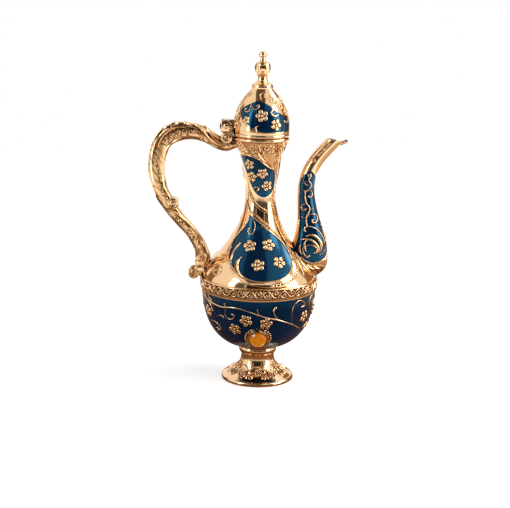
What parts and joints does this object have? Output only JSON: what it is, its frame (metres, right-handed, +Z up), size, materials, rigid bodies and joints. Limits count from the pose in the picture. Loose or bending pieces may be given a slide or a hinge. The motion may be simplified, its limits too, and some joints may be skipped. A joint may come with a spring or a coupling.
{
  "type": "coffee pot",
  "caption": "Dallah coffee pot with a bell body on a flared foot, swan-neck spout, scrolled handle, hinged domed lid with finial and blue enamel panels",
  "frame": {"origin": "on the pot's axis, at the plane of the foot ring that it stands on", "axes": "+Z up along the pot's axis, +X towards the spout, -X towards the handle, -Y towards the front panel"},
  "size_m": [0.1668, 0.0994, 0.28],
  "materials": {
    "gilt_metal": "bright polished rose-gold plating over cast metal",
    "blue_enamel": "glossy translucent navy to teal cold enamel",
    "amber_stone": "cut amber glass with a bright back",
    "fastener_steel": "plain zinc-plated fasteners"
  },
  "bodies": {
    "pot": {"foot": "gilt_metal", "stem_ring": "gilt_metal", "foot_washer": "fastener_steel", "foot_bolt": "fastener_steel", "bowl": "gilt_metal", "bowl_wall": "gilt_metal", "bowl_enamel": "blue_enamel", "bowl_relief_front": "gilt_metal", "bowl_relief_back": "gilt_metal", "gem_collet_front": "gilt_metal", "gem_collet_back": "gilt_metal", "gem_front": "amber_stone", "gem_back": "amber_stone", "girdle_band": "gilt_metal", "body_shell": "gilt_metal", "body_enamel_front": "blue_enamel", "body_enamel_back": "blue_enamel", "shoulder_relief_front": "gilt_metal", "shoulder_relief_back": "gilt_metal", "neck_shell": "gilt_metal", "neck_enamel_front": "blue_enamel", "neck_enamel_back": "blue_enamel", "mouth_ring": "gilt_metal", "spout": "gilt_metal", "spout_lip": "gilt_metal", "spout_enamel_front": "blue_enamel", "spout_enamel_back": "blue_enamel", "handle": "gilt_metal", "hinge_pin": "gilt_metal"},
    "lid": {"lid_rim": "gilt_metal", "lid_shell": "gilt_metal", "lid_enamel_front": "blue_enamel", "lid_enamel_back": "blue_enamel", "lid_knuckle": "gilt_metal", "finial": "gilt_metal", "finial_nut": "fastener_steel"}
  },
  "joints": [
    {"name": "lid_hinge", "type": "hinge", "parent": "pot", "child": "lid", "pos_m": [-0.0295, 0, 0.2185], "axis": [0, -1, 0], "range_deg": [0, 105]}
  ]
}
